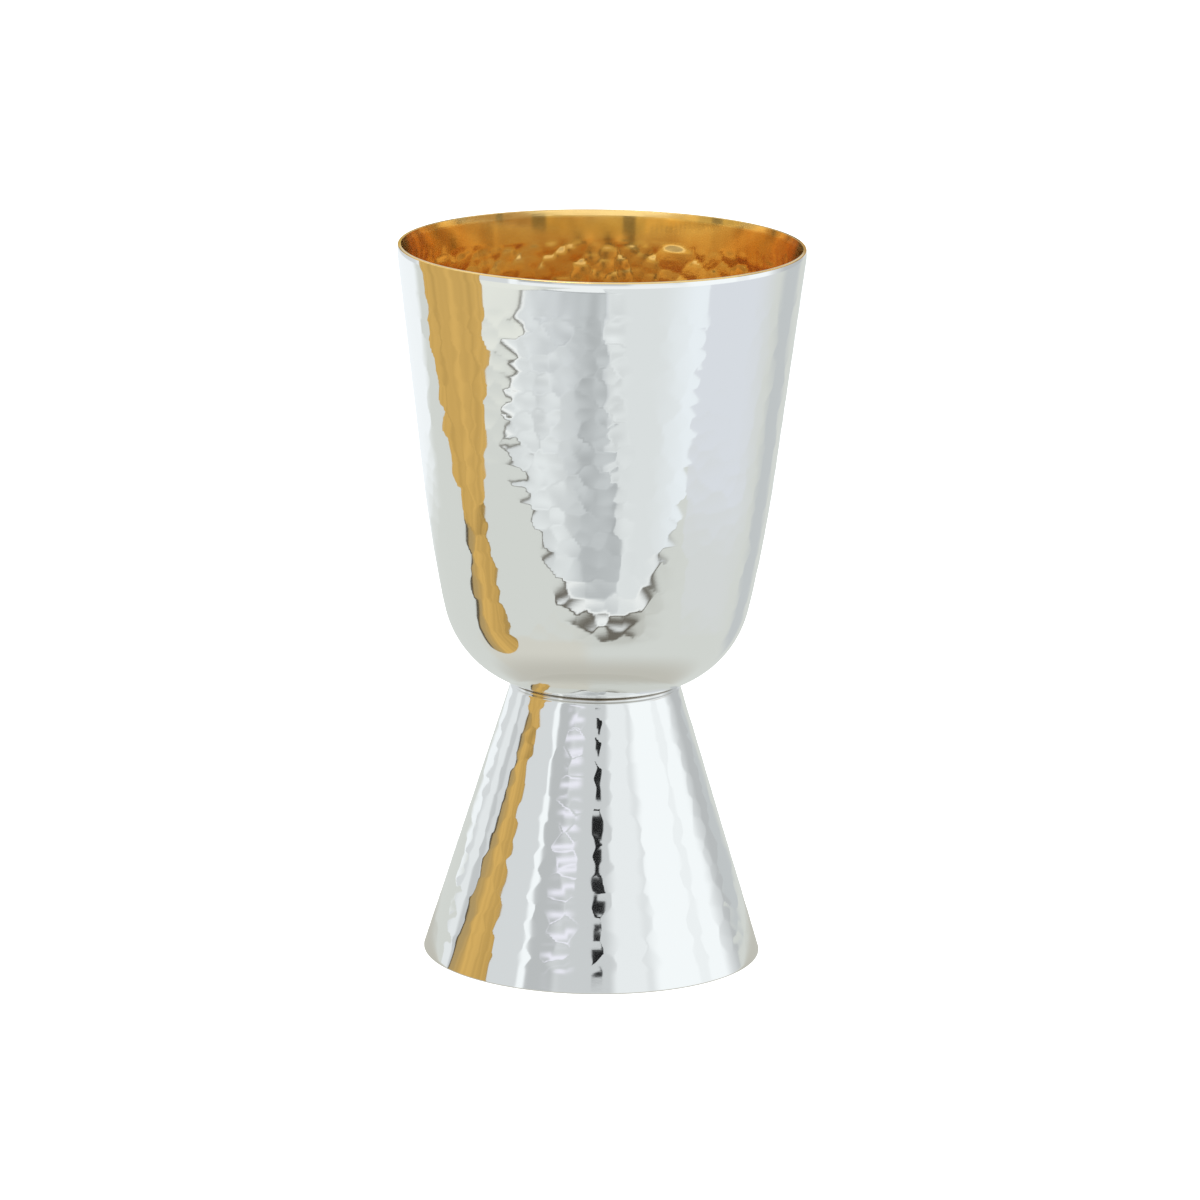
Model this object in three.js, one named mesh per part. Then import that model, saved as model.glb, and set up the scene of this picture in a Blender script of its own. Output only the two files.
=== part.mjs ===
// A communion cup of silver-plated sheet: a tumbler-shaped bowl, gilt inside, on a hollow cone foot.
// Millimetres, +Z up. The origin is on the axis, level with the foot's standing edge.
import * as THREE from "three";

const OVERALL_HEIGHT = 150;
const SEGMENTS = 88; // facets round the axis, the same on both pieces so that they line up

// Foot: a straight cone, turned in at the top over a rounded shoulder to carry the bowl.
const FOOT_HEIGHT = 58; // to the corner that its side and its seat would make unrounded
const FOOT_BASE_RADIUS = 35.3;
const FOOT_TOP_RADIUS = 17.45; // at that corner
const FOOT_WALL = 1.0;
const SHOULDER_RADIUS = 1.2;
const SEAT_WIDTH = 4;
const SOLDER_FILM = 0.1;

// Bowl: from the rim down, a straight taper, a slack belly, a round corner and a shallow bottom.
// Angles are in degrees from the vertical.
const RIM_RADIUS = 42.35;
const BOWL_WALL = 1.0;
const TAPER_ANGLE = 7;
const BELLY_RADIUS = 300;
const BELLY_ANGLE = 12.5;
const CORNER_RADIUS = 21.3;
const CORNER_ANGLE = 66;

// Lip: a narrow flat land, softened outside and bevelled inside.
const LIP_SOFTENING = 0.3;
const LIP_LAND = 0.4;
const LIP_BEVEL_DEPTH = 1.2;

// Steps along each curved stretch of a profile.
const SHOULDER_STEPS = 4;
const SEAT_STEPS = 3;
const BELLY_STEPS = 4;
const CORNER_STEPS = 10;
const BOTTOM_STEPS = 5;

const SILVER = { color: 0xdfe1e2, metalness: 1, roughness: 0.14 };
const GILT = { color: 0xd9992f, metalness: 1, roughness: 0.18 };

const { degToRad, lerp } = THREE.MathUtils;

// Halves a range until it closes on the value where a rising function crosses zero.
function solve(rising, low, high) {
  let [below, above] = [low, high];
  for (let k = 0; k < 60; k++) {
    const middle = (below + above) / 2;
    if (rising(middle) < 0) below = middle;
    else above = middle;
  }
  return (below + above) / 2;
}

// An arc that leaves a point tangent to the wall there and turns in towards the axis.
// Its angle is the wall's own angle from the vertical; inset gives the parallel arc inside it.
function arcFrom(point, startAngle, endAngle, radius) {
  const centreR = point.r - radius * Math.cos(startAngle);
  const centreZ = point.z + radius * Math.sin(startAngle);
  const at = (angle, inset = 0) => ({
    r: Math.max(centreR + (radius - inset) * Math.cos(angle), 0),
    z: centreZ - (radius - inset) * Math.sin(angle),
  });
  const heightAt = (r) => centreZ - Math.sqrt(radius ** 2 - (r - centreR) ** 2);
  const points = (steps, inset) =>
    Array.from({ length: steps }, (_, k) => at(lerp(startAngle, endAngle, (k + 1) / steps), inset));
  return { at, heightAt, points, endAngle, end: at(endAngle) };
}

// The bowl's outside with a taper of this depth; the bottom arc is the one that closes on the axis.
function bowlOutline(wallDepth) {
  const taper = degToRad(TAPER_ANGLE);
  const wallEnd = {
    r: RIM_RADIUS - wallDepth * Math.tan(taper),
    z: OVERALL_HEIGHT - wallDepth,
  };
  const belly = arcFrom(wallEnd, taper, degToRad(BELLY_ANGLE), BELLY_RADIUS);
  const corner = arcFrom(belly.end, belly.endAngle, degToRad(CORNER_ANGLE), CORNER_RADIUS);
  const bottomRadius = corner.end.r / Math.cos(corner.endAngle);
  const bottom = arcFrom(corner.end, corner.endAngle, Math.PI / 2, bottomRadius);
  const heightAt = (r) => (r < corner.end.r ? bottom : corner).heightAt(r);
  return { taper, wallEnd, belly, corner, bottom, heightAt };
}

// The taper is as deep as it takes for the bowl to rest on the foot's seat.
const restHeight = FOOT_HEIGHT + SOLDER_FILM;
const wallDepth = solve(
  (depth) => restHeight - bowlOutline(depth).heightAt(FOOT_TOP_RADIUS),
  0,
  OVERALL_HEIGHT - restHeight,
);
const bowlShape = bowlOutline(wallDepth);
const seatHeightAt = (r) => bowlShape.heightAt(r) - SOLDER_FILM;

// A solid of revolution about Z from a closed outline of { r, z } points, listed anticlockwise
// with r to the right and z up. The lathe turns about Y, so the result is tipped up.
function turned(outline) {
  const points = outline.map(({ r, z }) => new THREE.Vector2(r, z));
  return new THREE.LatheGeometry(points, SEGMENTS).rotateX(Math.PI / 2);
}

// Sorts a lathe's faces into two material groups, below and from a given row of its outline.
function splitAtRow(geometry, rows, firstUpperRow) {
  const index = Array.from(geometry.getIndex().array);
  const groups = [[], []];
  for (let k = 0; k < index.length; k += 3) {
    const face = index.slice(k, k + 3);
    const row = Math.min(...face.map((vertex) => vertex % rows));
    groups[row < firstUpperRow ? 0 : 1].push(...face);
  }
  geometry.setIndex(groups.flat());
  geometry.addGroup(0, groups[0].length, 0);
  geometry.addGroup(groups[0].length, groups[1].length, 1);
}

function named(name, geometry, material) {
  const mesh = new THREE.Mesh(geometry, material);
  mesh.name = name;
  return mesh;
}

// The foot's outside at a height, and the same wall measured across a horizontal cut.
const footAngle = Math.atan2(FOOT_BASE_RADIUS - FOOT_TOP_RADIUS, FOOT_HEIGHT);
const footWallCut = FOOT_WALL / Math.cos(footAngle);
const footOutside = (z) => lerp(FOOT_BASE_RADIUS, FOOT_TOP_RADIUS, z / FOOT_HEIGHT);

// The rounding between the foot's side and its seat, which slopes down towards the axis.
function shoulder() {
  const step = FOOT_TOP_RADIUS - SHOULDER_RADIUS;
  const seatAngle = Math.atan2(FOOT_HEIGHT - seatHeightAt(step), SHOULDER_RADIUS);
  const turn = Math.PI / 2 - footAngle + seatAngle;
  const reach = SHOULDER_RADIUS * Math.tan(turn / 2);
  const startZ = FOOT_HEIGHT - reach * Math.cos(footAngle);
  const start = { r: footOutside(startZ), z: startZ };
  const centre = {
    r: start.r - SHOULDER_RADIUS * Math.cos(footAngle),
    z: start.z - SHOULDER_RADIUS * Math.sin(footAngle),
  };
  return Array.from({ length: SHOULDER_STEPS + 1 }, (_, k) => {
    const angle = footAngle + (turn * k) / SHOULDER_STEPS;
    return {
      r: centre.r + SHOULDER_RADIUS * Math.cos(angle),
      z: centre.z + SHOULDER_RADIUS * Math.sin(angle),
    };
  });
}

function makeFoot() {
  const rounding = shoulder();
  const seatStart = rounding.at(-1).r;
  const seatEnd = FOOT_TOP_RADIUS - SEAT_WIDTH;
  const seat = Array.from({ length: SEAT_STEPS }, (_, k) => {
    const r = lerp(seatStart, seatEnd, (k + 1) / SEAT_STEPS);
    return { r, z: seatHeightAt(r) };
  });
  const inside = (z) => footOutside(z) - footWallCut;
  const underSeat = (r) => seatHeightAt(r) - FOOT_WALL;
  const cornerRadius = solve((r) => r - inside(underSeat(r)), seatEnd, FOOT_TOP_RADIUS);
  const outline = [
    { r: FOOT_BASE_RADIUS, z: 0 },
    ...rounding,
    ...seat,
    { r: seatEnd, z: underSeat(seatEnd) },
    { r: cornerRadius, z: underSeat(cornerRadius) },
    { r: inside(0), z: 0 },
    { r: FOOT_BASE_RADIUS, z: 0 },
  ];
  return named("foot", turned(outline), new THREE.MeshStandardMaterial(SILVER));
}

function makeBowl() {
  const { taper, wallEnd, belly, corner, bottom } = bowlShape;
  const down = (inset) => [
    {
      r: wallEnd.r - inset * Math.cos(taper),
      z: wallEnd.z + inset * Math.sin(taper),
    },
    ...belly.points(BELLY_STEPS, inset),
    ...corner.points(CORNER_STEPS, inset),
    ...bottom.points(BOTTOM_STEPS, inset),
  ];
  const wallCut = BOWL_WALL / Math.cos(taper);
  const lip = [
    {
      r: RIM_RADIUS - LIP_SOFTENING * Math.tan(taper),
      z: OVERALL_HEIGHT - LIP_SOFTENING,
    },
    { r: RIM_RADIUS - LIP_SOFTENING, z: OVERALL_HEIGHT },
    { r: RIM_RADIUS - LIP_SOFTENING - LIP_LAND, z: OVERALL_HEIGHT },
    {
      r: RIM_RADIUS - wallCut - LIP_BEVEL_DEPTH * Math.tan(taper),
      z: OVERALL_HEIGHT - LIP_BEVEL_DEPTH,
    },
  ];
  const outside = down(0).reverse();
  const outline = [...outside, ...lip, ...down(BOWL_WALL)];
  const geometry = turned(outline);
  const giltRow = outside.length + lip.length - 2;
  splitAtRow(geometry, outline.length, giltRow);
  const finishes = [SILVER, GILT].map((finish) => new THREE.MeshStandardMaterial(finish));
  return named("bowl", geometry, finishes);
}

const cup = new THREE.Group();
cup.name = "communion_cup";
cup.add(makeFoot(), makeBowl());

export default cup;
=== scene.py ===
"""A hammered silver communion cup, gilt inside: a tumbler-shaped bowl on a hollow cone foot.

Metres, +Z up. The origin is on the cup's axis, level with the foot's standing edge.
"""

import math

import bpy
import numpy as np
from bpy.props import FloatProperty, FloatVectorProperty, IntProperty, PointerProperty
from mathutils import Matrix, Vector


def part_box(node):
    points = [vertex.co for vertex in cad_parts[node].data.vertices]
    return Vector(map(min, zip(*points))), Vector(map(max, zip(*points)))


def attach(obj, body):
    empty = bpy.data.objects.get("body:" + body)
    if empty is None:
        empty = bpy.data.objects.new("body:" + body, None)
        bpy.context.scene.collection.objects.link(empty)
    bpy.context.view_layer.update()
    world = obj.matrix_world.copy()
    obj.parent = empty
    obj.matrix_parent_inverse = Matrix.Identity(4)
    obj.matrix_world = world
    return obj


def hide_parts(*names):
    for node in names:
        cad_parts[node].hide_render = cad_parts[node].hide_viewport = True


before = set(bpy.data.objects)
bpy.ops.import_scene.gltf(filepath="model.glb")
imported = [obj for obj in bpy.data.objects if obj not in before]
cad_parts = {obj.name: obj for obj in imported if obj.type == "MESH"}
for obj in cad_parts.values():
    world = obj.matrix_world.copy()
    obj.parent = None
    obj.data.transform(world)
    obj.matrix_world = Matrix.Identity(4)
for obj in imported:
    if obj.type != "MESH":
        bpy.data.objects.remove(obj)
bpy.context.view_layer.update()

bl_info = {
    "name": "Communion cup",
    "version": (1, 0, 0),
    "blender": (4, 5, 0),
    "location": "3D View > Sidebar > Cup",
    "description": "Builds a hammered silver cup, gilt inside, on a plain pale floor",
    "category": "Add Mesh",
}

MM = 0.001

# Sizes read from the frame
BOWL_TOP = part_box("bowl")[1]
FOOT_BOTTOM_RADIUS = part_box("foot")[1].x
LIP_SOFTENING = 0.3 * MM
TAPER = math.radians(7)
RIM_RADIUS = BOWL_TOP.x + LIP_SOFTENING * math.tan(TAPER)


def length(name, description, default):
    """A length in metres, shown in the scene's units."""
    return FloatProperty(name=name, description=description, default=default, unit="LENGTH", precision=5)


def angle(name, description, default):
    """An angle, given in radians and shown in degrees."""
    return FloatProperty(name=name, description=description, default=default, subtype="ANGLE")


def colour(name, description, default):
    """A colour in linear light."""
    return FloatVectorProperty(
        name=name, description=description, default=default, subtype="COLOR", min=0, max=1
    )


class CupSizes(bpy.types.PropertyGroup):
    """The cup's own sizes."""

    height: length("Height", "From the floor to the lip", BOWL_TOP.z)
    rim_radius: length("Rim radius", "Outside radius of the mouth", RIM_RADIUS)
    bowl_wall: length("Bowl wall", "Thickness of the bowl's sheet", 1.0 * MM)
    taper: angle("Taper", "Lean of the bowl's upper wall from the vertical", TAPER)
    belly_radius: length("Belly radius", "Slack curve below the straight wall", 300 * MM)
    belly_angle: angle("Belly angle", "Lean of the wall where the belly ends", math.radians(12.5))
    corner_radius: length("Corner radius", "Round corner into the bottom", 21.3 * MM)
    corner_angle: angle("Corner angle", "Lean where the corner meets the bottom", math.radians(66))
    lip_softening: length("Lip softening", "Rounding of the lip's outer edge", LIP_SOFTENING)
    lip_land: length("Lip land", "Width of the lip's flat top", 0.4 * MM)
    lip_bevel: length("Lip bevel", "Depth of the bevel inside the lip", 1.2 * MM)
    lip_turn: length("Lip turn", "Depth over which the wall turns in below the lip", 2.3 * MM)
    lip_lean: angle("Lip lean", "How far the wall has turned in at the lip", math.radians(15))
    foot_height: length("Foot height", "To the corner of the side and the seat, unrounded", 58 * MM)
    foot_base_radius: length("Foot base radius", "Radius of the standing edge", FOOT_BOTTOM_RADIUS)
    foot_top_radius: length("Foot top radius", "Radius at the top corner, unrounded", 17.45 * MM)
    foot_wall: length("Foot wall", "Thickness of the foot's sheet", 1.0 * MM)
    foot_edge: length("Foot edge", "Rounding of the standing edge", 0.2 * MM)
    shoulder_radius: length("Shoulder radius", "Rounding at the top of the foot", 1.2 * MM)
    seat_width: length("Seat width", "Turned-in edge that carries the bowl", 4 * MM)
    solder_film: length("Solder film", "Gap between the bowl and its seat", 0.1 * MM)
    solder_depth: length("Solder depth", "From the foot's top corner in to the face of the solder", 0.2 * MM)


class HammerMarks(bpy.types.PropertyGroup):
    """The rows of hammer marks."""

    pitch: length("Pitch", "Distance from mark to mark along a row", 3.3 * MM)
    row_step: length("Row step", "Distance from row to row", 3.3 * MM)
    dish_radius: length("Dish radius", "Radius of each mark's hollow", 72 * MM)
    scatter: FloatProperty(name="Scatter", description="Share of the pitch that marks stray", default=0.24)
    tilt: angle("Tilt", "How far single marks lean", math.radians(0.5))
    depth_spread: length("Depth spread", "How much deeper or shallower single marks are", 0.003 * MM)
    softness: length("Ridge softness", "Height over which the ridges between marks are rounded", 0.005 * MM)
    wave: length("Slow waves", "Height of the slow waves in the whole sheet", 0.006 * MM)
    rim_band: length("Rim band", "Plain band below the lip", 7.5 * MM)
    fade_top: length("Fade top", "Height where the bowl's marks start to fade", 76 * MM)
    fade_bottom: length("Fade bottom", "Height where the bowl's marks have gone", 69 * MM)
    foot_band: length("Foot band", "Plain band above the standing edge", 4.5 * MM)
    inside: FloatProperty(
        name="Inside", description="How far the marks bulge inside, in their depth", default=3.6
    )
    seed: IntProperty(name="Seed", description="Starts the scatter of the marks", default=7)


class CupFinish(bpy.types.PropertyGroup):
    """Colours and polish."""

    silver: colour("Silver", "Polished silver", (0.93, 0.93, 0.92))
    # Painted shade: the dark colour laid on the silver at the joint, standing for the shadow and dark
    # reflection in the crevice between bowl and foot
    painted_joint_shade: colour("Painted joint shade", "Darkened silver in the joint", (0.24, 0.2, 0.14))
    gilt: colour("Gilt", "Gold plating", (0.83, 0.55, 0.19))
    gilt_deep: colour("Deep gilt", "Redder patches in the plating", (0.75, 0.44, 0.13))
    # Painted highlight: paler gold along the lip, standing for the light on the lip's edge
    gilt_lip_highlight: colour("Pale gilt", "Thin plating on the lip", (0.92, 0.68, 0.3))


class CupStage(bpy.types.PropertyGroup):
    """Camera, light and floor."""

    aim: length("Aim height", "Height that the camera looks at", 75 * MM)
    aside: length("Aside", "How far to the right of the axis the camera looks", 0.7 * MM)
    distance: length("Distance", "From the camera to the point it looks at", 1391 * MM)
    elevation: angle("Elevation", "Camera above the horizon", math.radians(13.42))
    roll: angle("Roll", "Camera turned about its own view", math.radians(0.9))
    lens: FloatProperty(name="Lens", description="Focal length in millimetres", default=200.55)
    floor_radius: length("Floor radius", "Radius of the pale floor", 6.0)
    seed: IntProperty(name="Seed", description="Starts the blotches of the mirrored sheet", default=3)


# Curves and meshes


def crossing(rising, low, high):
    """Where a rising function crosses zero: the range is halved until it closes on that place."""
    for _ in range(60):
        middle = (low + high) / 2
        if rising(middle) < 0:
            low = middle
        else:
            high = middle
    return (low + high) / 2


class Arc:
    """An arc that leaves a point tangent to the wall and turns in towards the axis.

    A point on it is the centre plus the radius times (cos, -sin) of the wall's own angle from the
    vertical. An inset gives the parallel arc inside it.
    """

    def __init__(self, r, z, start, stop, radius):
        self.start, self.stop, self.radius = start, stop, radius
        self.centre_r = r - radius * math.cos(start)
        self.centre_z = z + radius * math.sin(start)
        self.end_r = self.centre_r + radius * math.cos(stop)
        self.end_z = self.centre_z - radius * math.sin(stop)

    def points(self, steps, inset=0.0):
        """Rows of (r, z, lean) at equal steps from the arc's end back up to its start."""
        lean = np.linspace(self.stop, self.start, steps + 1)
        reach = self.radius - inset
        r = self.centre_r + reach * np.cos(lean)
        z = self.centre_z - reach * np.sin(lean)
        return np.stack([np.maximum(r, 0), z, lean], axis=1)

    def height_at(self, r):
        return self.centre_z - np.sqrt(self.radius**2 - (r - self.centre_r) ** 2)


class BowlCurve:
    """The bowl's outside from the rim down: straight taper, slack belly, round corner, shallow bottom."""

    def __init__(self, sizes, wall_depth):
        self.sizes = sizes
        self.wall_r = sizes.rim_radius - wall_depth * math.tan(sizes.taper)
        self.wall_z = sizes.height - wall_depth
        self.belly = Arc(self.wall_r, self.wall_z, sizes.taper, sizes.belly_angle, sizes.belly_radius)
        self.corner = Arc(
            self.belly.end_r, self.belly.end_z, sizes.belly_angle, sizes.corner_angle, sizes.corner_radius
        )
        bottom_radius = self.corner.end_r / math.cos(sizes.corner_angle)
        self.bottom = Arc(
            self.corner.end_r, self.corner.end_z, sizes.corner_angle, math.pi / 2, bottom_radius
        )

    def height_at(self, r):
        """Height of the underside at a radius that the corner or the bottom reaches."""
        low = self.bottom.height_at(np.minimum(r, self.corner.end_r))
        high = self.corner.height_at(np.maximum(r, self.corner.end_r))
        return np.where(np.asarray(r) < self.corner.end_r, low, high)

    def wall(self, top_z, steps, inset=0.0, start_z=None):
        """The straight taper, from its foot or another height up to a height."""
        lean = self.sizes.taper
        z = np.linspace(self.wall_z if start_z is None else start_z, top_z, steps + 1)
        r = self.wall_r + (z - self.wall_z) * math.tan(lean) - inset * math.cos(lean)
        return np.stack([r, z + inset * math.sin(lean), np.full_like(z, lean)], axis=1)


def bowl_curve(sizes):
    """The bowl's curve whose underside rests on the foot's seat, with the solder's film between."""
    rest = sizes.foot_height + sizes.solder_film
    depth = crossing(
        lambda depth: rest - float(BowlCurve(sizes, depth).height_at(sizes.foot_top_radius)),
        0.0,
        sizes.height - rest,
    )
    return BowlCurve(sizes, depth)


def smooth_step(x, start, stop):
    """0 before start, 1 after stop, and the cubic 3t^2 - 2t^3 between them."""
    t = np.clip((x - start) / (stop - start), 0, 1)
    return t * t * (3 - 2 * t)


def turned_mesh(name, r, z, out_r, out_z, relief, poles):
    """A closed surface turned about Z.

    The profile is given by r and z, with the outward normal (out_r, out_z), as an anticlockwise
    outline. A point is the profile's point moved out by the relief's height along the normal, then
    turned by its angle. Its own normal is the profile's, less the relief's slope along the profile
    times the profile's direction and its slope round times the direction round. With poles the
    profile starts and ends on the axis and is closed by fans; without them its last row joins its
    first.
    """
    height, slope_round, slope_up = relief
    rows, columns = height.shape
    turn = np.arange(columns) * (2 * math.pi / columns)
    out_r, out_z = out_r[:, None], out_z[:, None]
    wide = r[:, None] + height * out_r
    points = np.stack([wide * np.cos(turn), wide * np.sin(turn), z[:, None] + height * out_z], axis=2)
    away = out_r + slope_up * out_z
    normals = np.stack(
        [
            away * np.cos(turn) + slope_round * np.sin(turn),
            away * np.sin(turn) - slope_round * np.cos(turn),
            out_z - slope_up * out_r,
        ],
        axis=2,
    )
    points, normals = points.reshape(-1, 3), normals.reshape(-1, 3)

    last = rows - 1 if poles else rows
    row = np.arange(last)[:, None]
    column = np.arange(columns)[None, :]
    beside = (column + 1) % columns
    above = (row + 1) % rows
    quads = np.stack(
        [row * columns + column, row * columns + beside, above * columns + beside, above * columns + column],
        axis=2,
    ).reshape(-1, 4)
    corners = quads.ravel()
    sizes = np.full(len(quads), 4)
    if poles:
        low, high_pole = len(points), len(points) + 1
        points = np.vstack([points, [[0, 0, z[0]], [0, 0, z[-1]]]])
        normals = np.vstack([normals, [[0, 0, -1], [0, 0, 1]]])
        ring = np.arange(columns)
        beside = (ring + 1) % columns
        top = (rows - 1) * columns
        low_fan = np.stack([np.full(columns, low), beside, ring], axis=1)
        high_fan = np.stack([top + ring, top + beside, np.full(columns, high_pole)], axis=1)
        corners = np.concatenate([corners, low_fan.ravel(), high_fan.ravel()])
        sizes = np.concatenate([sizes, np.full(2 * columns, 3)])

    mesh = bpy.data.meshes.new(name)
    mesh.vertices.add(len(points))
    mesh.vertices.foreach_set("co", points.ravel())
    mesh.loops.add(len(corners))
    mesh.loops.foreach_set("vertex_index", corners)
    mesh.polygons.add(len(sizes))
    mesh.polygons.foreach_set("loop_start", np.concatenate([[0], np.cumsum(sizes)[:-1]]))
    mesh.polygons.foreach_set("use_smooth", np.ones(len(sizes), dtype=bool))
    mesh.update(calc_edges=True)
    mesh.validate()
    normals /= np.linalg.norm(normals, axis=1)[:, None]
    mesh.normals_split_custom_set_from_vertices(normals.tolist())
    return mesh


def add_object(name, mesh):
    piece = bpy.data.objects.new(name, mesh)
    bpy.context.scene.collection.objects.link(piece)
    return piece


def hammer_relief(marks, turn, along, radius, first, last, rng):
    """Relief of rows of overlapping hammer marks, as rows of the profile by angles.

    Each mark is a shallow dish: its distance from the mark's middle, squared, over twice the dish's
    radius, plus a lean and a depth of its own. The sheet is the soft minimum of all the dishes,
    minus softness times the log of the sum of exp(-dish / softness), so they meet in round ridges.
    Returns the height and its slopes round and up, each the mean of the dishes' slopes by weight.
    """
    weights = np.full((along.size, turn.size), 1e-30)
    slope_round, slope_up = np.zeros((2, *weights.shape))
    rows = max(int(round((last - first) / marks.row_step)), 1)
    for middle in np.linspace(first, last, rows + 1):
        near = np.abs(along - middle) < 2.2 * marks.row_step
        if not near.any():
            continue
        reach = float(np.interp(middle, along, radius))
        count = max(int(round(2 * math.pi * reach / marks.pitch)), 3)
        step = 2 * math.pi / count
        offset = rng.uniform(0, step)
        stray_round = rng.normal(0, marks.scatter, count) * step
        stray_up = rng.normal(0, marks.scatter, count) * marks.row_step
        lean_round, lean_up = rng.normal(0, math.tan(marks.tilt), (2, count))
        depth = rng.normal(0, marks.depth_spread, count)
        dish = rng.uniform(0.75, 1.3, count) / marks.dish_radius
        cell = np.floor((turn - offset) / step).astype(int)
        for neighbour in (-2, -1, 0, 1, 2, 3):
            k = (cell + neighbour) % count
            across = (turn - offset - (cell + neighbour) * step - stray_round[k]) * reach
            up = along[near][:, None] - middle - stray_up[k][None, :]
            height = (across**2 + up**2) * dish[k] / 2 + lean_round[k] * across + lean_up[k] * up + depth[k]
            weight = np.exp(-height / marks.softness)
            weights[near] += weight
            slope_round[near] += weight * (across * dish[k] + lean_round[k])
            slope_up[near] += weight * (up * dish[k] + lean_up[k])
    height = -marks.softness * np.log(weights)
    marked = (along > first) & (along < last)
    height = np.minimum(height, height[marked].max()) - height[marked].mean()
    return np.stack([height, slope_round / weights, slope_up / weights])


def slow_waves(marks, turn, along, radius, rng, count=14):
    """Slow unevenness of the sheet: a sum of cosine waves of whole numbers round and any number up.

    Returns the height and its slopes round and up, from the sines of the same waves.
    """
    waves_round = rng.integers(6, 26, count)[:, None, None]
    waves_up = (rng.uniform(-1, 1, count) * 2 * math.pi / (14 * MM))[:, None, None]
    phase = rng.uniform(0, 2 * math.pi, count)[:, None, None]
    size = (rng.uniform(0.4, 1, count) * marks.wave / math.sqrt(count))[:, None, None]
    place = waves_round * turn[None, None, :] + waves_up * along[None, :, None] + phase
    fall = -size * np.sin(place)
    return np.stack(
        [
            (size * np.cos(place)).sum(axis=0),
            (fall * waves_round).sum(axis=0) / radius[:, None],
            (fall * waves_up).sum(axis=0),
        ]
    )


def faded(relief, strength, along):
    """A relief times a strength that changes along the profile, its slope up by the product rule."""
    height, slope_round, slope_up = relief
    change = np.gradient(strength, along)[:, None]
    strength = strength[:, None]
    return np.stack([height * strength, slope_round * strength, slope_up * strength + height * change])


def joint_shade(r, sizes):
    """How dark the joint's painted shade makes the bowl's underside: 1 within the face of the solder, 0
    outside it.
    """
    contact = sizes.foot_top_radius - sizes.solder_depth
    return smooth_step(r, contact + 0.03 * MM, contact - 0.02 * MM)


def uneven(turn):
    """Strength of the joint's painted shade, which comes and goes round the joint: two cosines of the angle,
    from about 0.3 to 1.
    """
    return 0.72 + 0.18 * np.cos(turn - math.radians(255)) + 0.12 * np.cos(5 * turn + 1.3)


def arc_lengths(r, z):
    """Distance along the profile from its first point."""
    return np.concatenate([[0], np.cumsum(np.hypot(np.diff(r), np.diff(z)))])


# Materials


def shader(name):
    """A new material's node tree, its Principled BSDF and helpers to add nodes and links."""
    material = bpy.data.materials.new(name)
    material.use_nodes = True
    nodes = material.node_tree.nodes
    bsdf = nodes["Principled BSDF"]

    def add(kind, **inputs):
        made = nodes.new(kind)
        for key, value in inputs.items():
            if key in made.inputs:
                made.inputs[key].default_value = value
            else:
                setattr(made, key, value)
        return made

    return material, bsdf, add, material.node_tree.links.new


def set_polish(add, link, bsdf, low, high, fine):
    """Roughness from soft smudges, and a slight waviness of the polish drawn out round the cup."""
    place = add("ShaderNodeTexCoord").outputs["Object"]
    smudge = add("ShaderNodeTexNoise", Scale=38.0, Detail=5.0, Roughness=0.6)
    link(place, smudge.inputs["Vector"])
    span = add("ShaderNodeMapRange")
    span.inputs["From Min"].default_value = 0.35
    span.inputs["From Max"].default_value = 0.75
    span.inputs["To Min"].default_value = low
    span.inputs["To Max"].default_value = high
    link(smudge.outputs["Fac"], span.inputs["Value"])
    link(span.outputs["Result"], bsdf.inputs["Roughness"])

    drawn = add("ShaderNodeMapping")
    drawn.inputs["Scale"].default_value = (1.0, 1.0, 3.0)
    link(place, drawn.inputs["Vector"])
    ripple = add("ShaderNodeTexNoise", Scale=420.0, Detail=3.0, Roughness=0.5)
    link(drawn.outputs["Vector"], ripple.inputs["Vector"])
    bump = add("ShaderNodeBump", Strength=1.0, Distance=fine)
    link(ripple.outputs["Fac"], bump.inputs["Height"])
    link(bump.outputs["Normal"], bsdf.inputs["Normal"])


def silver_material(finish):
    """Polished silver, darkened by painted shade at the joint where an attribute says so."""
    material, bsdf, add, link = shader("hammered_silver")
    bsdf.inputs["Metallic"].default_value = 1.0
    dark = add("ShaderNodeAttribute", attribute_name="painted_joint_shade")
    mix = add("ShaderNodeMix", data_type="RGBA")
    mix.inputs["A"].default_value = (*finish.silver, 1)
    mix.inputs["B"].default_value = (*finish.painted_joint_shade, 1)
    link(dark.outputs["Fac"], mix.inputs["Factor"])
    link(mix.outputs["Result"], bsdf.inputs["Base Color"])
    set_polish(add, link, bsdf, low=0.035, high=0.075, fine=0.0000012)
    return material


def gilt_material(finish):
    """Gold plating with redder patches, and a painted highlight along the lip: paler gold where its pale
    attribute says so.
    """
    material, bsdf, add, link = shader("gilt")
    bsdf.inputs["Metallic"].default_value = 0.92
    place = add("ShaderNodeTexCoord").outputs["Object"]
    patch = add("ShaderNodeTexNoise", Scale=90.0, Detail=4.0, Roughness=0.55)
    link(place, patch.inputs["Vector"])
    ramp = add("ShaderNodeValToRGB")
    ramp.color_ramp.elements[0].position = 0.35
    ramp.color_ramp.elements[0].color = (*finish.gilt_deep, 1)
    ramp.color_ramp.elements[1].position = 0.65
    ramp.color_ramp.elements[1].color = (*finish.gilt, 1)
    link(patch.outputs["Fac"], ramp.inputs["Fac"])
    pale = add("ShaderNodeAttribute", attribute_name="pale")
    mix = add("ShaderNodeMix", data_type="RGBA")
    mix.inputs["B"].default_value = (*finish.gilt_lip_highlight, 1)
    link(ramp.outputs["Color"], mix.inputs["A"])
    link(pale.outputs["Fac"], mix.inputs["Factor"])
    link(mix.outputs["Result"], bsdf.inputs["Base Color"])
    set_polish(add, link, bsdf, low=0.06, high=0.13, fine=0.000002)
    return material


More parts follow.
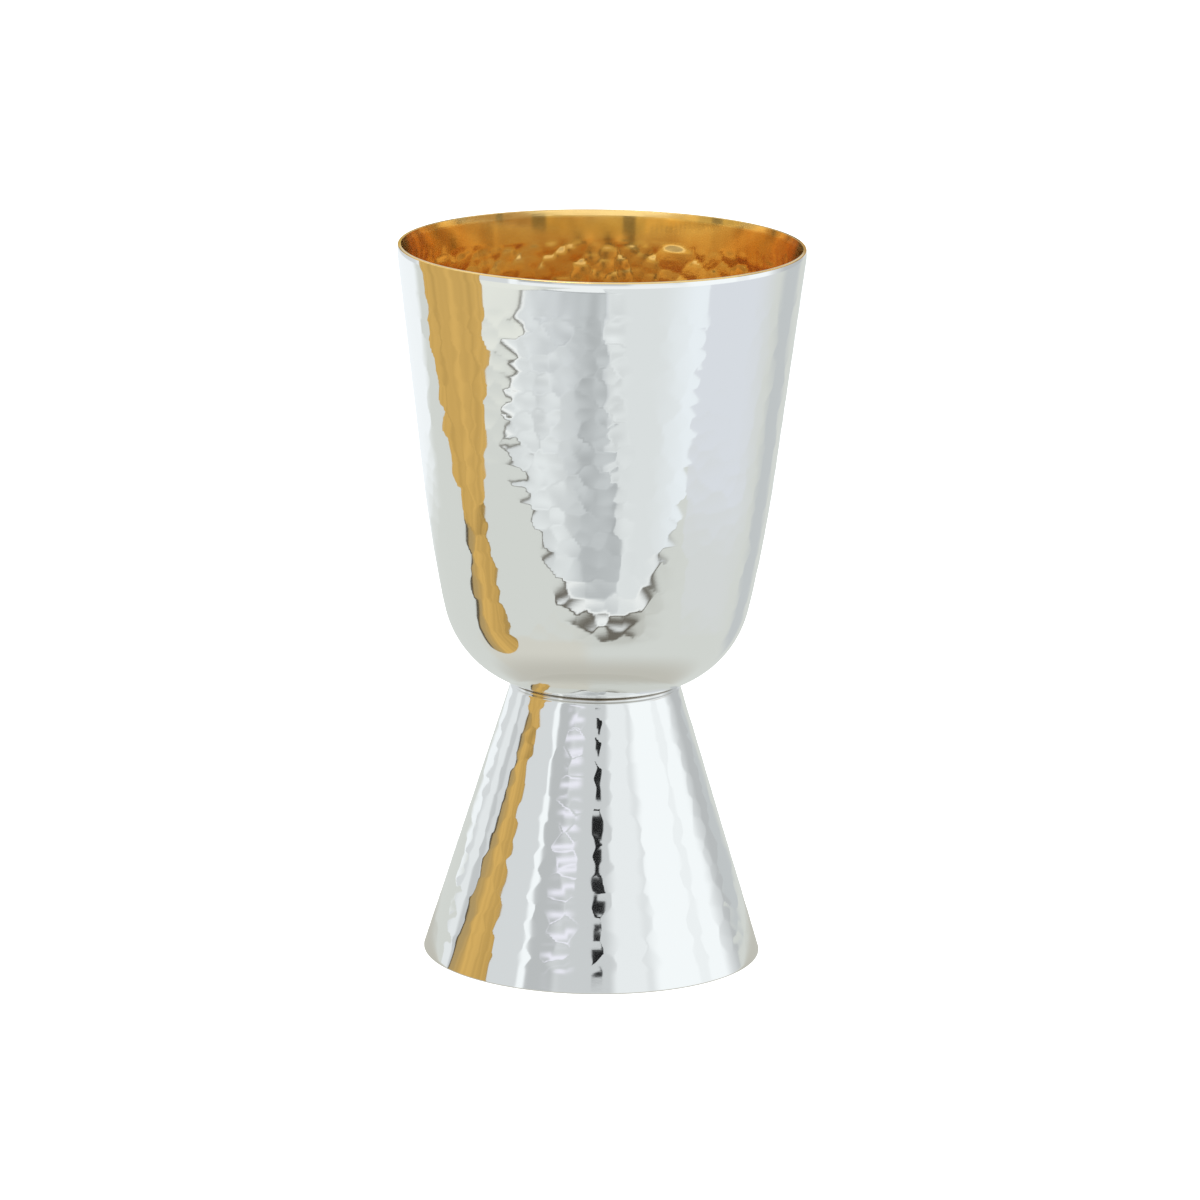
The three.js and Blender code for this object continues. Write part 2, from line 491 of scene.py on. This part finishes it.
def glow_material(name, attribute):
    """Plain light of the colours in an attribute."""
    material, bsdf, add, link = shader(name)
    bsdf.inputs["Base Color"].default_value = (0, 0, 0, 1)
    bsdf.inputs["Specular IOR Level"].default_value = 0
    bsdf.inputs["Emission Strength"].default_value = 1
    painted = add("ShaderNodeAttribute", attribute_name=attribute)
    link(painted.outputs["Color"], bsdf.inputs["Emission Color"])
    material.cycles.emission_sampling = "NONE"
    return material


# Pieces


def set_attribute(mesh, name, values):
    """A number for each of the mesh's points."""
    mesh.attributes.new(name, "FLOAT", "POINT").data.foreach_set("value", values.astype(np.float32))


class MESH_OT_cup_bowl(bpy.types.Operator):
    """The tumbler-shaped bowl of hammered silver sheet, gilt inside"""

    bl_idname = "mesh.cup_bowl"
    bl_label = "Bowl"

    # Points round the bowl, rows in the lip's turn, and the depth inside that has close rows
    COLUMNS = 424
    TURN_ROWS = 7
    CLOSE_DEPTH = 17 * MM

    def execute(self, context):
        sizes, marks = context.scene.cup_sizes, context.scene.cup_marks
        curve = bowl_curve(sizes)
        outside = np.vstack(
            [
                curve.bottom.points(6)[1:],
                curve.corner.points(20)[1:],
                curve.belly.points(46)[1:],
                curve.wall(sizes.height - sizes.lip_turn, 64)[1:],
            ]
        )
        lip = self.lip(sizes, outside[-1])
        inside_top = sizes.height - sizes.lip_bevel - 0.12 * MM
        close_from = sizes.height - self.CLOSE_DEPTH
        inside = np.vstack(
            [
                curve.bottom.points(5, sizes.bowl_wall)[1:],
                curve.corner.points(9, sizes.bowl_wall)[1:],
                curve.belly.points(22, sizes.bowl_wall)[1:],
                curve.wall(close_from, 16, sizes.bowl_wall)[1:],
                curve.wall(inside_top, 30, sizes.bowl_wall, close_from)[1:],
            ]
        )[::-1]
        r, z, out_r, out_z = self.profile(outside, lip, inside)
        along = arc_lengths(r, z)
        turn = np.arange(self.COLUMNS) * (2 * math.pi / self.COLUMNS)
        rng = np.random.default_rng(marks.seed)
        n_out, n_lip = len(outside), len(lip)
        relief = np.zeros((3, r.size, turn.size))
        for rows, times in ((slice(0, n_out), 1), (slice(n_out + n_lip, None), -marks.inside)):
            relief[:, rows] = times * self.marked(marks, sizes, turn, along[rows], r[rows], z[rows], rng)
        mesh = turned_mesh("bowl", r, z, out_r, out_z, relief, poles=True)

        gilt_row = n_out + self.TURN_ROWS
        faces = np.arange(len(mesh.polygons))
        face_row = np.where(faces < (r.size - 1) * turn.size, faces // turn.size, 0)
        face_row[-turn.size :] = r.size
        mesh.polygons.foreach_set("material_index", (face_row >= gilt_row).astype(np.int32))
        # Painted shade at the joint: the silver near the seat is darkened within the face of the solder,
        # standing for the crevice's shadow
        near_seat = (z < sizes.foot_height + 3 * MM) & (np.arange(r.size) < n_out)
        dark = joint_shade(r, sizes)[:, None] * uneven(turn)
        dark = np.where(near_seat[:, None], dark, 0)
        set_attribute(mesh, "painted_joint_shade", np.concatenate([dark.ravel(), [0, 0]]))
        # Painted highlight along the lip: paler gold over the bevel and the lip's top, fading in just below
        # the bevel
        on_lip = smooth_step(z, sizes.height - 1.5 * MM, sizes.height - sizes.lip_bevel)
        set_attribute(mesh, "pale", np.concatenate([np.repeat(on_lip, turn.size), [0, 0]]))

        bowl = add_object("hammered_bowl", mesh)
        mesh.materials.append(silver_material(context.scene.cup_finish))
        mesh.materials.append(gilt_material(context.scene.cup_finish))
        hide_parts("bowl")
        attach(bowl, "root")
        return {"FINISHED"}

    @staticmethod
    def lip(sizes, below):
        """The lip's rows of (r, z, lean), up from the wall's last row.

        The wall turns in along an arc, then come a small round outside, a flat land and a bevel inside.
        """
        soft = sizes.lip_softening
        lean_in = sizes.taper - sizes.lip_lean
        depth = sizes.height - soft * (1 + math.sin(lean_in)) - below[1]
        radius = depth / (math.sin(sizes.taper) - math.sin(lean_in))
        lean = np.linspace(sizes.taper, lean_in, MESH_OT_cup_bowl.TURN_ROWS + 1)[1:]
        turn_r = below[0] + radius * (np.cos(lean) - math.cos(sizes.taper))
        turn_z = below[1] + radius * (math.sin(sizes.taper) - np.sin(lean))
        turn_in = np.stack([turn_r, turn_z, lean], axis=1)
        centre_r = turn_r[-1] - soft * math.cos(lean_in)
        centre_z = sizes.height - soft
        lean = np.linspace(lean_in, -math.pi / 2, 6)[1:]
        round_over = np.stack([centre_r + soft * np.cos(lean), centre_z - soft * np.sin(lean), lean], axis=1)
        land_end = centre_r - sizes.lip_land
        wall_cut = sizes.bowl_wall / math.cos(sizes.taper)
        bevel_r = sizes.rim_radius - wall_cut - sizes.lip_bevel * math.tan(sizes.taper)
        bevel = math.atan2(land_end - bevel_r, sizes.lip_bevel) + math.pi
        land = [[land_end + 0.05 * MM, sizes.height, -math.pi / 2]]
        slope = [
            [np.interp(t, [0, 1], [land_end, bevel_r]), sizes.height - t * sizes.lip_bevel, bevel]
            for t in (0.08, 0.95)
        ]
        return np.vstack([turn_in, round_over, land, slope])

    @staticmethod
    def profile(outside, lip, inside):
        """The whole outline as r, z and the outward normal, which points into the hollow inside."""
        r = np.concatenate([outside[:, 0], lip[:, 0], inside[:, 0]])
        z = np.concatenate([outside[:, 1], lip[:, 1], inside[:, 1]])
        lean = np.concatenate([outside[:, 2], lip[:, 2], inside[:, 2] + math.pi])
        return r, z, np.cos(lean), -np.sin(lean)

    @staticmethod
    def marked(marks, sizes, turn, along, r, z, rng):
        """Hammer marks between the plain band at the rim and the smooth bottom."""
        band_edge = sizes.height - marks.rim_band
        in_band = (z > marks.fade_bottom) & (z < band_edge + marks.row_step)
        first, last = along[in_band].min(), along[in_band].max()
        relief = hammer_relief(marks, turn, along, r, first, last, rng)
        relief += slow_waves(marks, turn, along, r, rng)
        strength = smooth_step(z, marks.fade_bottom, marks.fade_top)
        strength *= smooth_step(z, band_edge + 1.2 * MM, band_edge - 0.8 * MM)
        return faded(relief, strength, along)


class MESH_OT_cup_foot(bpy.types.Operator):
    """The hollow cone foot of hammered silver sheet"""

    bl_idname = "mesh.cup_foot"
    bl_label = "Foot"

    # Points round the foot, and rows up the face of the solder: share of its height, and painted shade
    COLUMNS = 520
    SOLDER_ROWS = (0.0, 0.45, 0.6, 1.0)
    SOLDER_SHADE = (0.1, 1, 1)

    def execute(self, context):
        sizes, marks = context.scene.cup_sizes, context.scene.cup_marks
        curve = bowl_curve(sizes)
        slope = math.atan2(sizes.foot_base_radius - sizes.foot_top_radius, sizes.foot_height)
        seat_height = lambda r: float(curve.height_at(r)) - sizes.solder_film
        shoulder = self.shoulder(sizes, slope, seat_height)
        face_r = sizes.foot_top_radius - sizes.solder_depth
        shoulder = shoulder[shoulder[:, 0] > face_r + 0.06 * MM]
        under = float(curve.height_at(face_r))
        steps = np.array(self.SOLDER_ROWS)
        face_z = shoulder[-1, 1] + steps * (under - 0.01 * MM - shoulder[-1, 1])
        solder = np.stack([face_r + 0.03 * MM * (1 - steps), face_z], axis=1)
        edge = self.edge(sizes, slope)
        side = np.linspace(edge[-1], shoulder[0], 132)[1:-1]
        seat_r = np.linspace(face_r - 0.1 * MM, sizes.foot_top_radius - sizes.seat_width, 6)
        seat = [[x, seat_height(x)] for x in seat_r]
        inner = self.inner(sizes, slope, seat_height)
        outline = np.vstack([edge, side, shoulder, solder[1:], seat, inner])
        r, z = outline[:, 0], outline[:, 1]
        ahead, behind = np.roll(outline, -1, axis=0), np.roll(outline, 1, axis=0)
        step = ahead - behind
        out = np.stack([step[:, 1], -step[:, 0]], axis=1) / np.linalg.norm(step, axis=1)[:, None]

        along = arc_lengths(r, z)
        turn = np.arange(self.COLUMNS) * (2 * math.pi / self.COLUMNS)
        rng = np.random.default_rng(marks.seed + 1)
        rows = slice(len(edge), len(edge) + len(side))
        top = shoulder[0][1]
        first = along[rows][0] + marks.foot_band / math.cos(slope)
        relief = np.zeros((3, r.size, turn.size))
        marked = hammer_relief(marks, turn, along[rows], r[rows], first, along[rows][-1], rng)
        marked += slow_waves(marks, turn, along[rows], r[rows], rng)
        strength = smooth_step(z[rows], marks.foot_band - 1.0 * MM, marks.foot_band + 1.5 * MM)
        strength *= smooth_step(z[rows], top - 0.2 * MM, top - 2.0 * MM)
        relief[:, rows] = faded(marked, strength, along[rows])
        mesh = turned_mesh("foot", r, z, out[:, 0], out[:, 1], relief, poles=False)
        # Painted shade on the face of the solder and on the seat: dark silver standing for the crevice's
        # shadow at the joint
        shade_rows = np.zeros(r.size)
        face = len(edge) + len(side) + len(shoulder)
        seat_row = face + len(self.SOLDER_SHADE)
        shade_rows[face:seat_row] = self.SOLDER_SHADE
        shade_rows[seat_row : seat_row + len(seat)] = 1
        set_attribute(mesh, "painted_joint_shade", (shade_rows[:, None] * uneven(turn)).ravel())

        foot = add_object("hammered_foot", mesh)
        mesh.materials.append(bpy.data.materials["hammered_silver"])
        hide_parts("foot")
        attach(foot, "root")
        return {"FINISHED"}

    @staticmethod
    def shoulder(sizes, slope, seat_height):
        """The rounding between the foot's side and its seat, which slopes down towards the axis."""
        radius = sizes.shoulder_radius
        step_r = sizes.foot_top_radius - radius
        seat_angle = math.atan2(sizes.foot_height - seat_height(step_r), radius)
        sweep = math.pi / 2 - slope + seat_angle
        reach = radius * math.tan(sweep / 2)
        start_z = sizes.foot_height - reach * math.cos(slope)
        start_r = sizes.foot_top_radius + reach * math.sin(slope)
        centre_r = start_r - radius * math.cos(slope)
        centre_z = start_z - radius * math.sin(slope)
        angles = slope + np.linspace(0, sweep, 11)
        return np.stack([centre_r + radius * np.cos(angles), centre_z + radius * np.sin(angles)], axis=1)

    @staticmethod
    def edge(sizes, slope):
        """The standing edge, from the inside out: flat below, rounded at its outer corner."""
        soft = sizes.foot_edge
        wall = sizes.foot_wall / math.cos(slope)
        inner_r = sizes.foot_base_radius - wall
        angles = np.linspace(-math.pi / 2, slope, 5)
        centre_r = sizes.foot_base_radius - soft * (1 / math.cos(slope) + math.tan(slope))
        rounding = np.stack([centre_r + soft * np.cos(angles), soft + soft * np.sin(angles)], axis=1)
        return np.vstack([[[inner_r + 0.05 * MM, 0]], rounding])

    @staticmethod
    def inner(sizes, slope, seat_height):
        """The inside, from the seat's edge down to the standing edge."""
        wall = sizes.foot_wall
        wall_cut = wall / math.cos(slope)
        side_r = lambda z: sizes.foot_base_radius - z * math.tan(slope) - wall_cut
        seat_end = sizes.foot_top_radius - sizes.seat_width
        corner_r = crossing(lambda r: r - side_r(seat_height(r) - wall), seat_end, sizes.foot_top_radius)
        corner_z = seat_height(corner_r) - wall
        under = [[x, seat_height(x) - wall] for x in np.linspace(seat_end, corner_r, 5)]
        down = [[side_r(h), h] for h in np.linspace(corner_z, 0.05 * MM, 26)[1:]]
        return np.vstack([under, down])


# Stage

# Share of light that the silver gives back, which the mirrored pieces are brightened by
SILVER_SHARE = 0.93

# Left and far edges of the grey sheet on the mirrored table
SHEET_LEFT = -0.265
SHEET_END = -0.40

# Radius of the warm ring round the mouth, and its lower and upper edges in millimetres
COLLAR_RADIUS = 48 * MM
COLLAR_HEIGHTS = (150.4, 161.2)

# Where the warm turned form stands
WARM_FORM_X = -0.110
WARM_FORM_Y = -0.020


def srgb(red, green, blue):
    """A colour given in 0 to 255 as it shows on a screen, in linear light, as an array."""
    value = np.array([red, green, blue]) / 255
    return np.where(value <= 0.04045, value / 12.92, ((value + 0.055) / 1.055) ** 2.4)


def paint(colours, colour_value, cover):
    """Lays a colour over the others where cover is 1, and a share of it where cover is less."""
    return colours + (colour_value - colours) * cover[..., None]


def band(x, start, stop, soft):
    """1 from start to stop, falling to 0 over a soft edge outside them."""
    return smooth_step(x, start - soft, start) * smooth_step(x, stop + soft, stop)


def line(x, middle, wide):
    """1 on a line, falling off on both sides as a bell curve."""
    return np.exp(-(((x - middle) / wide) ** 2))


def clouds(x, y, size, rng, count=24):
    """Soft blotches from about -1 to 1: a sum of cosine waves in all directions, about one size long."""
    heading = rng.uniform(0, math.pi, count)[:, None, None]
    wave = rng.uniform(0.6, 1.5, count)[:, None, None] * 2 * math.pi / size
    phase = rng.uniform(0, 2 * math.pi, count)[:, None, None]
    total = np.zeros(x.shape)
    for h, w, p in zip(heading, wave, phase):
        total += np.cos(w * (x * np.cos(h) + y * np.sin(h)) + p)
    return total / math.sqrt(count)


def mirrored_only(piece):
    """A stage piece that shows only in the cup's reflections."""
    piece.visible_camera = False
    piece.visible_diffuse = False
    piece.visible_shadow = False
    piece.visible_transmission = False
    piece.visible_volume_scatter = False


def sheet_mesh(name, points, colours):
    """A grid of points as a mesh, with its colours as an attribute."""
    rows, columns = points.shape[:2]
    row, column = np.meshgrid(np.arange(rows - 1), np.arange(columns - 1), indexing="ij")
    first = (row * columns + column).ravel()
    quads = np.stack([first, first + 1, first + columns + 1, first + columns], axis=1)
    mesh = bpy.data.meshes.new(name)
    mesh.from_pydata(points.reshape(-1, 3), [], quads)
    values = np.concatenate([colours.reshape(-1, 3), np.ones((rows * columns, 1))], axis=1)
    light = mesh.attributes.new("light", "FLOAT_COLOR", "POINT")
    light.data.foreach_set("color", values.ravel().astype(np.float32))
    return mesh


def mirrored_table(rng):
    """The table as the bowl mirrors it: a painted shadow round the foot, and a grey sheet with a dark edge in
    front, the painted shadow under that edge.

    The grid is dense near the cup and coarse far out: a place is 0.45 u + 1.8 u^5 for u from -1 to 1.
    Azimuths are in degrees, 0 in front and 90 to the right.
    """
    u = np.linspace(-1, 1, 801)
    spread = 0.45 * u + 1.8 * u**5
    y, x = np.meshgrid(spread, spread, indexing="ij")
    near = np.hypot(x, y)
    azimuth = np.degrees(np.arctan2(x, -y))
    colours = np.broadcast_to(srgb(207, 211, 207), (*x.shape, 3))
    warmer = 0.7 * band(azimuth, -95, -15, 15) * band(near, 0.04, 0.11, 0.03)
    colours = paint(colours, srgb(206, 204, 193), warmer)
    # Painted shadow: darker towards the foot, the cup's contact shadow as the bowl's underside mirrors it
    colours = paint(colours, srgb(186, 185, 176), 0.9 * smooth_step(near, 0.085, 0.04))
    far = smooth_step(near, 0.28, 0.42)
    behind = np.maximum(band(azimuth, -180, -132, 8), band(azimuth, 172, 180, 8))
    colours = paint(colours, srgb(238, 243, 246), far * behind)
    colours = paint(colours, srgb(226, 229, 222), far * band(azimuth, -78, -40, 10))
    right_edge = np.interp(near, [0.18, 0.24, 0.29, 0.36], [62, 57, 56, 62])
    beside = smooth_step(azimuth - right_edge, -0.5, 0) * smooth_step(azimuth, 122, 92)
    colours = paint(colours, srgb(209, 213, 213), smooth_step(near, 0.13, 0.17) * beside)
    colours = paint(colours, srgb(214, 219, 226), smooth_step(near, 0.2, 0.32) * beside)
    colours = paint(colours, srgb(190, 195, 197), smooth_step(near, 0.11, 0.15) * band(azimuth, 128, 142, 10))

    edge_x = np.array([-0.6, -0.265, -0.175, -0.1, -0.04, 0.06, 0.12, 0.25, 0.5])
    edge_y = np.array([-0.12, -0.150, -0.185, -0.158, -0.138, -0.125, -0.14, -0.15, -0.16])
    edge = np.interp(x, edge_x, edge_y)
    on_sheet = smooth_step(x, SHEET_LEFT - 0.002, SHEET_LEFT + 0.002) * smooth_step(edge - y, -0.001, 0.003)
    on_sheet *= smooth_step(azimuth - right_edge, 0.4, -0.4)
    colours = paint(colours, srgb(217, 222, 223), on_sheet)
    colours = paint(colours, srgb(231, 238, 243), on_sheet * smooth_step(azimuth, 30, 58))
    deeper = on_sheet * smooth_step(x, 0.03, 0.02) * smooth_step(y, -0.20, -0.36)
    colours = paint(colours, srgb(203, 208, 211), deeper)
    strip_right = np.interp(y, [-0.36, -0.28, -0.25, -0.17, -0.14], [0.018, 0.018, 0.048, 0.048, 0.035])
    strip = smooth_step(azimuth, -26, -6) * smooth_step(x - strip_right, 0.002, -0.002)
    colours = paint(colours, srgb(184, 189, 191), on_sheet * strip * smooth_step(y, -0.135, -0.17))
    past = smooth_step(y, SHEET_END + 0.004, SHEET_END - 0.004) * smooth_step(x - strip_right, 0.002, -0.002)
    colours = paint(colours, srgb(236, 240, 241), on_sheet * past)
    blotch = clouds(x, y, 0.07, rng) * on_sheet * smooth_step(x, 0.1, 0.04) * (1 - past)
    colours = colours * (1 + 0.07 * blotch)[..., None]

    bottom = smooth_step(x, -0.12, -0.06)
    front = line(y, edge, 0.0026 + 0.0016 * bottom) * smooth_step(x, SHEET_LEFT, SHEET_LEFT + 0.004)
    front *= smooth_step(x, 0.2, 0.1)
    side = line(x, SHEET_LEFT, 0.0036) * smooth_step(y, -0.15, -0.156)
    side *= smooth_step(y, SHEET_END, SHEET_END + 0.01)
    light = line(y, edge - 0.010, 0.005) * band(x, -0.04, 0.075, 0.05)
    lighter = line(x, SHEET_LEFT + 0.009, 0.004) * smooth_step(y, -0.15, -0.16)
    far_end = band(y, SHEET_END - 0.045, SHEET_END, 0.006) * band(x, SHEET_LEFT, 0.016, 0.004)
    shade = line(x, 0.06, 0.06) * line(y, -0.116, 0.014)
    colours = paint(colours, srgb(176, 177, 170), 0.6 * shade)
    colours = paint(colours, srgb(244, 247, 246), np.maximum(0.7 * light, lighter))
    # Painted shadow along the sheet's front edge, and a dark line along its left edge
    colours = paint(colours, srgb(84, 78, 66), np.maximum(front, side))
    colours = paint(colours, srgb(172, 177, 179), far_end)
    height = np.full_like(x, -0.2 * MM)
    return sheet_mesh("mirrored_table", np.stack([x, y, height], axis=2), colours / SILVER_SHARE)


def upright_shades(azimuth, ground, uprights):
    """Shade by azimuth in linear light, from greys of 0 to 255.

    Each upright is (azimuth, half its width, softness, grey), laid over the ground and those before it.
    """
    grey = np.full(azimuth.size, float(ground))
    for middle, half, soft, value in uprights:
        grey += (value - grey) * band(azimuth, middle - half, middle + half, soft)
    return (grey / 255) ** 2.2


def mirrored_wall():
    """The room as the foot mirrors it: a cylinder of light and grey uprights round the table.

    Its radius is 1 m. High up behind the cup it has uprights of its own, which the bowl's inside mirrors.
    """
    uprights = [
        (0, 20, 8, 203), (-36, 7, 6, 187), (28, 9, 7, 235), (76, 26, 12, 249), (84, 3, 3, 241),
        (134, 10, 13, 186), (-49, 1.5, 2.5, 248), (-118, 4, 5, 230), (-109, 2, 3, 196),
    ]
    high_uprights = [
        (146, 3, 2, 110), (160, 3, 3, 250), (174, 3, 2, 100), (-165, 4, 3, 252), (-152, 3, 2, 120),
    ]
    azimuth = np.linspace(-180, 180, 1441)
    shade = upright_shades(azimuth, 214, uprights)
    high_shade = upright_shades(azimuth, 205, high_uprights)
    height = np.linspace(0, 1.1, 331)
    h, degrees = np.meshgrid(height, azimuth, indexing="ij")
    a = np.radians(degrees)
    points = np.stack([np.sin(a), -np.cos(a), h], axis=2)
    colours = np.broadcast_to(shade, h.shape)[..., None] * np.array([0.945, 0.99, 1.012])
    high = smooth_step(np.abs(degrees), 80, 95) * smooth_step(h, 0.38, 0.44)
    colours = paint(colours, high_shade[None, :, None] * np.array([1.0, 0.97, 0.94]), high)
    # Rungs: bars of lavender light that the foot's hammer marks mirror as short painted glints
    rungs = (0.5 + 0.5 * np.cos(2 * math.pi * h / 0.085)) ** 2
    rungs = 0.85 * rungs * band(degrees, -30, -17, 7) * band(h, 0.29, 0.45, 0.03)
    colours = paint(colours, srgb(240, 240, 252), rungs)
    colours = paint(colours, srgb(34, 35, 36), band(degrees, 0.5, 7.8, 0.4) * band(h, 0.314, 0.402, 0.003))
    colours = paint(colours, srgb(236, 240, 242), band(degrees, -42, 42, 12) * smooth_step(h, 0.16, 0.13))
    return sheet_mesh("mirrored_wall", points, colours / SILVER_SHARE)


def mirrored_collar(rng):
    """A low ring of warm light round the mouth, seen only in the plain band inside the far lip.

    It stands for what a deep gilt hollow mirrors of itself: amber, with dark bars and a comb of
    fine strokes. A place of the band at an angle from the far side mirrors the ring at about
    minus three times that angle from the near side. Heights here are in millimetres.
    """
    degrees = np.linspace(-180, 180, 1801)
    h, a = np.meshgrid(np.linspace(*COLLAR_HEIGHTS, 28), degrees, indexing="ij")
    around = np.radians(a)
    points = np.stack([COLLAR_RADIUS * np.sin(around), -COLLAR_RADIUS * np.cos(around), h * MM], axis=2)
    colours = np.broadcast_to(srgb(203, 180, 112), (*h.shape, 3))
    colours = paint(colours, srgb(178, 148, 100), band(a, 62, 130, 8))
    colours = paint(colours, srgb(231, 200, 124), band(a, -78, -38, 5))
    bars = [(53, 5), (88, 2), (-22, 4), (-99, 4), (-136, 6), (126, 4)]
    dark = np.max([band(a, middle - half, middle + half, 2.5) for middle, half in bars], axis=0)
    comb = band(a, -104, -41, 2) * (0.5 + 0.5 * np.cos(a * (2 * math.pi / 4.1)))
    comb *= smooth_step(h, 152.2, 151.6)
    colours = paint(colours, srgb(118, 110, 80), np.maximum(0.85 * dark, 0.6 * comb))
    colours = colours * (1 + 0.1 * clouds(a, h * 3, 14, rng))[..., None]
    # Above the amber a grey band, then a white glow at the front: a painted highlight that the bulges inside
    # the bowl mirror
    colours = paint(colours, srgb(214, 214, 212), smooth_step(h, 155.0, 155.6))
    colours = paint(colours, np.array([1.2, 1.15, 1.0]), band(h, 156.0, 159.5, 0.6) * band(a, -75, 75, 20))
    return sheet_mesh("mirrored_collar", points, colours)


def warm_form():
    """A warm turned form beside the cup, seen only in its reflections: a cone, a waist and a bowl.

    Its light is brightest where it faces the cup, falls off towards its sides on the cone, and has
    fine upright streaks, a sum of cosines of the turn.
    """
    radius = [33, 17.5, 16.3, 17, 20, 26, 31, 35, 37.5, 39.5, 41]
    height = [0, 60, 64, 68, 73, 80, 88, 96, 107, 120, 162]
    heights = np.linspace(0, 162, 109)
    turn = np.linspace(-math.pi, math.pi, 361)
    z, a = np.meshgrid(heights * MM, turn, indexing="ij")
    r = np.interp(z / MM, height, radius) * MM
    points = np.stack([r * np.cos(a) + WARM_FORM_X, r * np.sin(a) + WARM_FORM_Y, z], axis=2)
    cone = smooth_step(z, 70 * MM, 63 * MM)
    streaks = 0.05 * np.cos(9 * a + 0.7) + 0.05 * np.cos(23 * a + 2.0) + 0.03 * np.cos(41 * a + 25 * z)
    facing = np.cos(np.clip(1.2 * a, -math.pi, math.pi))
    light = 1 + streaks - 0.28 * cone * (1 - facing) + 0.12 * cone * line(a, 0.15, 0.18)
    light -= 0.25 * line(z, 65 * MM, 2.0 * MM)
    colours = srgb(200, 163, 92) * light[..., None]
    colours = paint(colours, srgb(150, 132, 92), 0.35 * smooth_step(np.abs(a), 1.0, 1.5))
    colours = paint(colours, srgb(160, 142, 104), 0.7 * cone * smooth_step(a, 0.1, 0.7))
    colours = paint(colours, srgb(72, 66, 54), 0.95 * cone * band(a, 0.95, 2.2, 0.1))
    return sheet_mesh("warm_form", points, colours / SILVER_SHARE)


class SCENE_OT_cup_stage(bpy.types.Operator):
    """The pale floor, the soft light, what the cup mirrors, and the camera"""

    bl_idname = "scene.cup_stage"
    bl_label = "Stage"

    def execute(self, context):
        stage = context.scene.cup_stage
        context.scene.view_settings.view_transform = "Standard"
        self.world(context.scene)
        self.floor(stage)
        rng = np.random.default_rng(stage.seed)
        for mesh in (mirrored_table(rng), mirrored_wall(), mirrored_collar(rng), warm_form()):
            piece = add_object(mesh.name, mesh)
            mesh.materials.append(glow_material(mesh.name, "light"))
            mirrored_only(piece)
        self.light()
        self.camera(context.scene, stage)
        return {"FINISHED"}

    @staticmethod
    def world(scene):
        world = bpy.data.worlds.new("soft_daylight")
        world.use_nodes = True
        background = world.node_tree.nodes["Background"]
        background.inputs["Color"].default_value = (0.97, 0.985, 1.0, 1)
        background.inputs["Strength"].default_value = 1.0
        scene.world = world

    @staticmethod
    def floor(stage):
        """A wide disc, bright enough to be white, with a faint shade where the cup stands."""
        angles = np.linspace(0, 2 * math.pi, 97)
        rings = np.array([0.0, 0.05, 0.3, 1.0, stage.floor_radius])
        ring, turn = np.meshgrid(rings, angles, indexing="ij")
        points = np.stack([ring * np.cos(turn), ring * np.sin(turn), np.full_like(ring, -0.05 * MM)], axis=2)
        mesh = sheet_mesh("pale_floor", points, np.ones(points.shape))
        floor = add_object("pale_floor", mesh)
        material, bsdf, _, _ = shader("pale_floor")
        bsdf.inputs["Base Color"].default_value = (0.8, 0.8, 0.8, 1)
        bsdf.inputs["Roughness"].default_value = 0.9
        bsdf.inputs["Specular IOR Level"].default_value = 0.0
        bsdf.inputs["Emission Color"].default_value = (1, 1, 1, 1)
        bsdf.inputs["Emission Strength"].default_value = 0.82
        material.cycles.emission_sampling = "NONE"
        mesh.materials.append(material)
        floor.visible_glossy = False

    @staticmethod
    def light():
        """One broad soft light above and to the left."""
        data = bpy.data.lights.new("soft_light", "AREA")
        data.shape = "DISK"
        data.size = 1.2
        data.energy = 12
        light = bpy.data.objects.new("soft_light", data)
        light.location = (-0.7, -0.9, 1.9)
        light.rotation_euler = Vector((0.7, 0.9, -1.8)).to_track_quat("-Z", "Y").to_euler()
        light.visible_camera = False
        bpy.context.scene.collection.objects.link(light)

    @staticmethod
    def camera(scene, stage):
        data = bpy.data.cameras.new("camera")
        data.lens = stage.lens
        data.sensor_width = 36
        data.clip_start = 0.05
        data.clip_end = 60
        camera = bpy.data.objects.new("camera", data)
        back = Vector((0, -math.cos(stage.elevation), math.sin(stage.elevation)))
        place = Vector((stage.aside, 0, stage.aim)) + back * stage.distance
        turned = (-back).to_track_quat("-Z", "Y").to_matrix().to_4x4()
        camera.matrix_world = Matrix.Translation(place) @ turned @ Matrix.Rotation(stage.roll, 4, "Z")
        scene.collection.objects.link(camera)
        scene.camera = camera


class VIEW3D_PT_cup(bpy.types.Panel):
    """Lists the cup's operators and sizes"""

    bl_label = "Communion cup"
    bl_space_type = "VIEW_3D"
    bl_region_type = "UI"
    bl_category = "Cup"

    def draw(self, context):
        for group in (context.scene.cup_sizes, context.scene.cup_marks, context.scene.cup_finish,
                      context.scene.cup_stage):
            box = self.layout.box()
            for key in group.__annotations__:
                box.prop(group, key)
        for operator in OPERATORS:
            self.layout.operator(operator.bl_idname)


GROUPS = {"cup_sizes": CupSizes, "cup_marks": HammerMarks, "cup_finish": CupFinish, "cup_stage": CupStage}
OPERATORS = (MESH_OT_cup_bowl, MESH_OT_cup_foot, SCENE_OT_cup_stage)
CLASSES = (*GROUPS.values(), *OPERATORS, VIEW3D_PT_cup)


def register():
    for cls in CLASSES:
        bpy.utils.register_class(cls)
    for name, group in GROUPS.items():
        setattr(bpy.types.Scene, name, PointerProperty(type=group))


def unregister():
    for name in GROUPS:
        delattr(bpy.types.Scene, name)
    for cls in reversed(CLASSES):
        bpy.utils.unregister_class(cls)


def main():
    register()
    bpy.ops.mesh.cup_bowl()
    bpy.ops.mesh.cup_foot()
    bpy.ops.scene.cup_stage()


if __name__ == "__main__":
    main()
